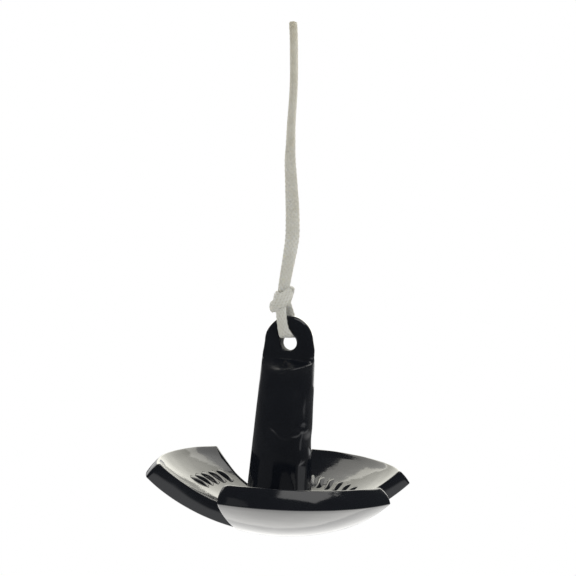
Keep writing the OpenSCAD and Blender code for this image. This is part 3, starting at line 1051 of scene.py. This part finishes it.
# Height of the eye over the crown's middle, from which the lamps are placed
CROWN_DROP = 0.11

# Soft boxes: name, place from the crown, facing, width, height, brightness and tint
LAMPS = [
    ("backdrop_box", (-0.05, 1.25, 0.72), (-0.05, -1.25, -0.50), 1.9, 1.2, 1.97, (1, 0.975, 0.83)),
    ("floor_box", (0.02, 0.38, -0.48), (0, 0, 1), 1.5, 1.44, 0.76, (1, 0.98, 0.93)),
    ("near_floor_box", (-0.06, 0.0, -0.47), (0, 0, 1), 1.0, 0.70, 0.80, (1, 0.98, 0.93)),
    ("top_box", (0.30, -0.36, 0.80), (0, 0, -1), 0.48, 0.40, 1.9, (1, 0.99, 0.97)),
    ("front_left_box", (-0.45, -0.80, 0.62), (0.45, 0.8, -0.6), 0.3, 0.3, 0.25, (1, 0.99, 0.97)),
    ("high_box", (0.50, 0.62, 0.95), (-0.3, -0.4, -0.95), 0.60, 0.56, 1.75, (1, 0.985, 0.95)),
    ("left_back_box", (-0.71, 0.65, 0.78), (0.80, -0.50, -0.78), 0.55, 0.9, 2.2, (1, 0.98, 0.91)),
    ("right_box", (1.0, 0.08, -0.18), (-1, 0, 0), 0.20, 0.30, 0.42, (0.97, 0.98, 1)),
    ("strip_box", (0.40, -0.085, 0.80), (0, 0, -1), 0.38, 0.08, 5.0, (1, 0.99, 0.96)),
    ("right_back_box", (0.30, 1.30, 0.08), (-0.2, -1, 0), 0.36, 0.26, 1.2, (1, 0.99, 0.97)),
]

# Standing part from the line's end down into the knot: x, z and twist, from the line's upper end
LINE_ROUTE = [
    (0, 0, 90), (1.5, -14, 90), (2.5, -28, 88), (3.5, -42, 84), (4, -56, 76), (4, -70, 70),
    (4, -84, 64), (4.5, -98, 54), (5, -112, 40), (6.5, -125, 31), (8, -138, 22), (9.5, -151, 10),
    (10.5, -163, 0), (11, -175, -8), (10, -187, -20), (8.5, -200, -30), (7, -214, -36),
    (6.5, -219, -38)]


class ANCHOR_OT_studio(Operator):
    """Camera, soft lamps, white floor and backdrop"""

    bl_idname = "anchor.studio"
    bl_label = "Studio"

    def execute(self, context):
        s = context.scene.anchor_studio
        el, az, roll = s.elevation, s.azimuth, s.roll
        back = Vector((sin(az) * cos(el), -cos(az) * cos(el), sin(el)))
        right = Vector((cos(az), sin(az), 0))
        up = back.cross(right)
        right, up = cos(roll) * right + sin(roll) * up, cos(roll) * up - sin(roll) * right
        spot = Vector(EYE) + back * s.distance
        back, up = (cos(s.eye_down) * back - sin(s.eye_down) * up,
                    cos(s.eye_down) * up + sin(s.eye_down) * back)
        back, right = (cos(s.eye_right) * back + sin(s.eye_right) * right,
                       cos(s.eye_right) * right - sin(s.eye_right) * back)
        data = bpy.data.cameras.new("camera")
        data.lens, data.sensor_width = s.lens, 36.0
        camera = bpy.data.objects.new("camera", data)
        turn = Matrix((right, up, back)).transposed().to_4x4()
        camera.matrix_world = Matrix.Translation(spot) @ turn
        context.scene.collection.objects.link(camera)
        context.scene.camera = camera
        context.scene.view_settings.view_transform = "Standard"
        for name, spot, facing, wide, tall, level, tint in LAMPS:
            self.lamp(context, name, spot, facing, wide, tall, level, tint)
        self.floor(context, CAD_BOX[0][2] - s.floor_drop)
        studio_world()
        return {"FINISHED"}

    def lamp(self, context, name, spot, facing, wide, tall, level, tint):
        """A soft box, placed from the crown, whose face shines level times as bright as white."""
        data = bpy.data.lights.new(name, "AREA")
        data.shape, data.size, data.size_y = "RECTANGLE", wide, tall
        data.energy, data.color = level * wide * tall * pi, tint
        lamp = bpy.data.objects.new(name, data)
        turn = Vector(facing).to_track_quat("-Z", "Y").to_matrix().to_4x4()
        crown = Vector(EYE) - Vector((0, 0, CROWN_DROP))
        lamp.matrix_world = Matrix.Translation(crown + Vector(spot)) @ turn
        context.scene.collection.objects.link(lamp)

    def floor(self, context, z):
        """A square floor far wider than the view."""
        count = 5
        reach = np.linspace(-6, 6, count)
        x, y = np.meshgrid(reach, reach, indexing="ij")
        points = np.stack([x, y, np.zeros_like(x)], -1).reshape(-1, 3)
        mesh = bpy.data.meshes.new("floor")
        mesh.from_pydata(points.tolist(), [], grid_faces(count, count, False).tolist())
        mesh.materials.append(paper_material())
        floor = bpy.data.objects.new("floor", mesh)
        floor.location = EYE[0], EYE[1], z
        context.scene.collection.objects.link(floor)


class ANCHOR_OT_line(Operator):
    """Braided line from its cut end down to the knot, with the knot, eye loop and tail"""

    bl_idname = "anchor.line"
    bl_label = "Braided line"

    def execute(self, context):
        sizes = context.scene.anchor_line
        material = braid(context.scene)
        knot = self.knot(sizes, material)
        loop = self.loop(sizes, material)
        tail = self.tail(sizes, material)
        last = len(LINE_ROUTE) - 1
        gathered = np.interp(np.arange(last + 1), [last - 4, last], [0, 0.4])
        stations = []
        for (x, z, twist), share in zip(LINE_ROUTE, gathered):
            half_w = mix(sizes.width, sizes.thickness, share) / 2
            stations.append([x * MM, 0, z * MM, half_w, sizes.thickness / 2,
                             -sin(radians(twist)), -cos(radians(twist)), 0])
        bm, centre = braided_tube(stations, sizes, ends=(-0.15, 0.3))
        obj = piece("braided_line", [bm], material, "rope")
        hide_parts("line")
        return {"FINISHED"}

    def strand(self, route, sizes):
        """A braided tube from stations in millimetres about the eye."""
        stations = [[x * MM + EYE[0], y * MM + EYE[1], z * MM + EYE[2], w * MM, t * MM, *face]
                    for x, y, z, w, t, face in route]
        return braided_tube(stations, sizes)[0]

    def knot(self, sizes, material):
        """Two flat turns round the standing part: one low on the left, one slung across."""
        turn = [
            (-3.5, 5.4, 27, 3.4, 2.1, (0.1, 1, 0)), (-5.5, 6.2, 31, 4.0, 2.1, (0, 1, 0)),
            (-9.4, 4.5, 35.2, 4.3, 2.1, (-0.6, 0.8, 0)), (-12.6, 0.5, 36.8, 4.3, 2.1, (-1, 0, 0.1)),
            (-11.8, -3.6, 35.8, 4.3, 2.1, (-0.6, -0.8, 0.1)), (-8.2, -4.6, 34.5, 4.2, 2.0, (0, -1, 0)),
            (-5.2, -3.0, 33.5, 3.8, 2.0, (0.5, -1, 0)), (-3.6, 1.0, 32.5, 3.6, 2.0, (1, 0, 0)),
            (-5.0, 4.2, 31, 3.6, 2.0, (0.4, 1, 0))]
        sling = [
            (-7.5, 4.5, 30.4, 3.6, 2.1, (0, 1, 0)), (-12.6, 2.8, 28.4, 4.2, 2.2, (-0.6, 0.8, 0)),
            (-15.6, -1.2, 27.6, 4.5, 2.2, (-1, -0.2, -0.1)),
            (-12.4, -5.4, 28.9, 4.9, 2.2, (-0.4, -1, -0.1)),
            (-8.4, -7.2, 32.2, 5.1, 2.2, (0, -1, -0.1)), (-5.2, -6.6, 35.2, 4.9, 2.2, (0.25, -1, 0)),
            (-3.0, -4.2, 38.4, 4.4, 2.2, (0.6, -0.9, 0)), (-1.8, -1.2, 41.2, 4.0, 2.2, (0.9, -0.5, 0))]
        bms = [self.strand(turn, sizes), self.strand(sling, sizes)]
        obj = piece("knot_turns", bms, material, "rope")
        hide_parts("knot")
        return obj

    def loop(self, sizes, material):
        """The loop from the knot, down the front, through the eye and up behind the tab."""
        front = (0, -1, 0)
        route = [
            (-8.0, -2.0, 34, 4.4, 2.3, (-0.1, -1, 0)), (-7.6, -5.2, 27, 4.3, 2.3, (-0.1, -1, 0.1)),
            (-6.2, -8.2, 20, 4.1, 2.3, (0, -1, 0.1)), (-4.9, -8.4, 13.5, 4.2, 2.2, front),
            (-3.4, -8.2, 8.5, 4.7, 2.0, (0, -1, -0.2)), (-1.8, -7.0, 5.6, 5.5, 1.6, (0, -0.8, -0.6)),
            (-0.8, -4.8, 5.0, 5.2, 1.35, (0, -0.2, -1)), (-0.2, 0, 4.95, 5.0, 1.3, (0, 0, -1)),
            (0.4, 4.8, 5.0, 5.2, 1.35, (0, 0.2, -1)), (0.8, 7.0, 5.6, 5.0, 1.6, (0, 0.8, -0.6)),
            (0.8, 8.3, 8.5, 4.6, 2.0, (0, 1, -0.2)), (0.2, 8.6, 13.5, 4.5, 2.2, (0, 1, 0)),
            (-2.0, 8.6, 20.0, 4.5, 2.2, (0.1, 1, 0)), (-3.9, 7.2, 26, 4.4, 2.2, (0.1, 1, 0)),
            (-5.2, 3.8, 31.5, 4.0, 2.1, (0, 1, 0))]
        obj = piece("eye_strand", [self.strand(route, sizes)], material, "rope")
        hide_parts("eye_loop")
        return obj

    def tail(self, sizes, material):
        """The short free end, which stands up behind the standing part on the right."""
        route = [(-4.4, 3.2, 33.5, 3.6, 2.1, (0.3, 1, 0)), (-3.2, 3.6, 37.4, 3.6, 2.1, (0.5, 1, 0)),
                 (-2.0, 3.0, 41.2, 3.5, 2.1, (0.6, 1, 0)), (-1.0, 2.0, 44.6, 3.2, 2.0, (0.7, 0.8, 0))]
        obj = piece("tail_end", [self.strand(route, sizes)], material, "rope")
        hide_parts("tail")
        return obj


# Share of the full steps that the surfaces out of sight take
HIDDEN_DETAIL = 0.42


class ANCHOR_OT_casting(Operator):
    """Bare iron casting inside the skin"""

    bl_idname = "anchor.casting"
    bl_label = "Iron casting"

    def execute(self, context):
        colours = context.scene.anchor_colours
        iron = shared("sand_cast_iron", lambda: iron_material(colours, groups()))
        bm = anchor_bmesh(context.scene.anchor_sizes, 0.0, HIDDEN_DETAIL, False)
        obj = piece("iron_casting", [bm], iron, "anchor")
        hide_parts("casting")
        return {"FINISHED"}


class ANCHOR_OT_coating(Operator):
    """Vinyl skin all over the casting, with raised bars in the dish of the two rear flukes"""

    bl_idname = "anchor.coating"
    bl_label = "Vinyl skin"

    def execute(self, context):
        sizes, colours = context.scene.anchor_sizes, context.scene.anchor_colours
        vinyl = shared("dipped_vinyl", lambda: vinyl_material(sizes, colours, groups()))
        outside = anchor_bmesh(sizes, sizes.coat, 1.0, True)
        inside = anchor_bmesh(sizes, 0.0, HIDDEN_DETAIL, False, flip=True)
        bars = self.bars(Form(sizes, sizes.coat, 1.0))
        obj = piece("vinyl_skin", [outside, inside, *bars], vinyl, "anchor")
        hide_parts("coating")
        return {"FINISHED"}

    def bars(self, form):
        """A row of plain slanted bars across each rear fluke."""
        share = 2 * pi / form.sizes.fluke_count
        made = []
        for fluke, shift, rho, count in BAR_ROWS:
            centre = -pi / 2 + form.sizes.fluke_turn + fluke * share
            for k in np.arange(count) - (count - 1) / 2:
                azimuth = centre + (k * BAR_PITCH + shift * MM) / (rho * MM)
                made.append(bmesh_of(bar_patches(form, azimuth, rho * MM)))
        return made


class ANCHOR_PT_panel(Panel):
    """Lists the anchor's sizes, colours and steps"""

    bl_label = "River anchor"
    bl_space_type = "VIEW_3D"
    bl_region_type = "UI"
    bl_category = "Anchor"

    def draw(self, context):
        scene = context.scene
        for step in STEPS:
            self.layout.operator(step.bl_idname)
        for group in (scene.anchor_sizes, scene.anchor_line, scene.anchor_colours,
                      scene.anchor_studio):
            box = self.layout.box()
            for name in group.__annotations__:
                box.prop(group, name)


GROUPS = {"anchor_sizes": AnchorSizes, "anchor_line": LineSizes, "anchor_colours": FinishColours,
          "anchor_studio": StudioSettings}
STEPS = (ANCHOR_OT_studio, ANCHOR_OT_line, ANCHOR_OT_casting, ANCHOR_OT_coating)
CLASSES = (*GROUPS.values(), *STEPS, ANCHOR_PT_panel)


def register():
    for cls in CLASSES:
        bpy.utils.register_class(cls)
    for name, group in GROUPS.items():
        setattr(bpy.types.Scene, name, PointerProperty(type=group))


def unregister():
    for name in GROUPS:
        delattr(bpy.types.Scene, name)
    for cls in reversed(CLASSES):
        bpy.utils.unregister_class(cls)


def main():
    register()
    bpy.ops.anchor.studio()
    bpy.ops.anchor.line()
    bpy.ops.anchor.casting()
    bpy.ops.anchor.coating()


if __name__ == "__main__":
    main()
